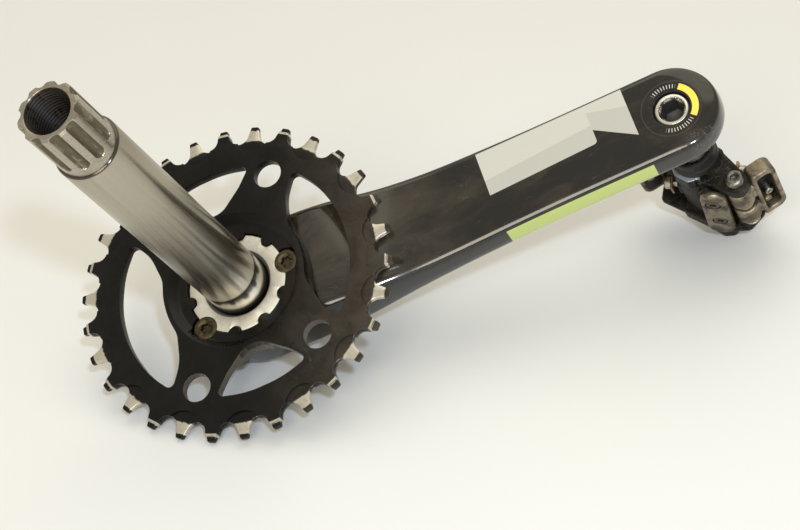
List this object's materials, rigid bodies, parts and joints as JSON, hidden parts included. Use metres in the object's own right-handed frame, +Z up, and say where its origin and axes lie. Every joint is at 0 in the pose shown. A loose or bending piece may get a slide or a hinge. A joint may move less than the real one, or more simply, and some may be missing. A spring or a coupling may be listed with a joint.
{
  "type": "bicycle crankset",
  "caption": "Hollow crank arm with its hollow spindle, direct-mount narrow-wide chainring and sprung-jaw clipless pedal.",
  "frame": {"origin": "centre of the footprint, at the bench the crankset lies on", "axes": "+Z up from the bench, +X along the crank arm as seen from above, from the chainring to the pedal, +Y across"},
  "size_m": [0.28, 0.1538, 0.1642],
  "materials": {
    "carbon": "clear-coated carbon composite",
    "foam": "rigid foam",
    "boss_alloy": "machined",
    "steel": "brushed",
    "spring_steel": "drawn wire",
    "chromed_steel": "polished",
    "insert_alloy": "black anodised",
    "black_alloy": "black anodised, worn on the narrow teeth",
    "pedal_paint": "satin black, scuffed",
    "plastic": "moulded",
    "bronze": "dulled",
    "worn_steel": "scuffed through to bare steel"
  },
  "bodies": {
    "root": {"crank_arm_shell": "carbon", "arm_foam_core": "foam", "spline_boss": "boss_alloy", "spindle": "steel", "hub_cap": "plastic", "chainring": "black_alloy", "chainring_bolt_1": "bronze", "chainring_bolt_2": "bronze", "chainring_bolt_3": "bronze", "pedal_insert": "insert_alloy", "pedal_axle": "chromed_steel", "pedal_washer": "steel", "axle_nut": "steel"},
    "pedal": {"pedal_body": "pedal_paint", "axle_lock_sleeve": "plastic", "inner_bush": "bronze", "outer_bearing": "steel", "pedal_end_cap": "plastic", "fixed_claw_a": "worn_steel", "fixed_claw_b": "worn_steel", "claw_screw_a1": "steel", "claw_screw_a2": "steel", "claw_screw_b1": "steel", "claw_screw_b2": "steel", "pivot_pin_a": "steel", "pivot_pin_b": "steel", "torsion_spring_a1": "spring_steel", "torsion_spring_a2": "spring_steel", "torsion_spring_b1": "spring_steel", "torsion_spring_b2": "spring_steel", "tension_plate_a": "bronze", "tension_plate_b": "bronze"},
    "jaw_a": {"jaw_a": "worn_steel"},
    "jaw_b": {"jaw_b": "worn_steel"},
    "tension_screw_a": {"tension_screw_a": "steel"},
    "tension_screw_b": {"tension_screw_b": "steel"}
  },
  "joints": [
    {"name": "pedal_spin", "type": "hinge", "parent": "root", "child": "pedal", "pos_m": [0.10921, 0.04953, 0.02822], "axis": [-0.2708, -0.5154, 0.813], "continuous": true},
    {"name": "jaw_a", "type": "hinge", "parent": "pedal", "child": "jaw_a", "pos_m": [0.12153, 0.03521, 0.02325], "axis": [-0.2708, -0.5154, 0.813], "range_deg": [-14, 0], "stiffness_Nm_per_rad": 3, "springref_deg": 17.19},
    {"name": "jaw_b", "type": "hinge", "parent": "pedal", "child": "jaw_b", "pos_m": [0.09689, 0.06385, 0.0332], "axis": [-0.2708, -0.5154, 0.813], "range_deg": [-14, 0], "stiffness_Nm_per_rad": 3, "springref_deg": 17.19},
    {"name": "tension_screw_a", "type": "hinge", "parent": "pedal", "child": "tension_screw_a", "pos_m": [0.12095, 0.04677, 0.03039], "axis": [0.9193, -0.389, 0.0596], "range_deg": [0, 1080]},
    {"name": "tension_screw_b", "type": "hinge", "parent": "pedal", "child": "tension_screw_b", "pos_m": [0.09746, 0.05229, 0.02606], "axis": [-0.9193, 0.389, -0.0596], "range_deg": [0, 1080]}
  ]
}
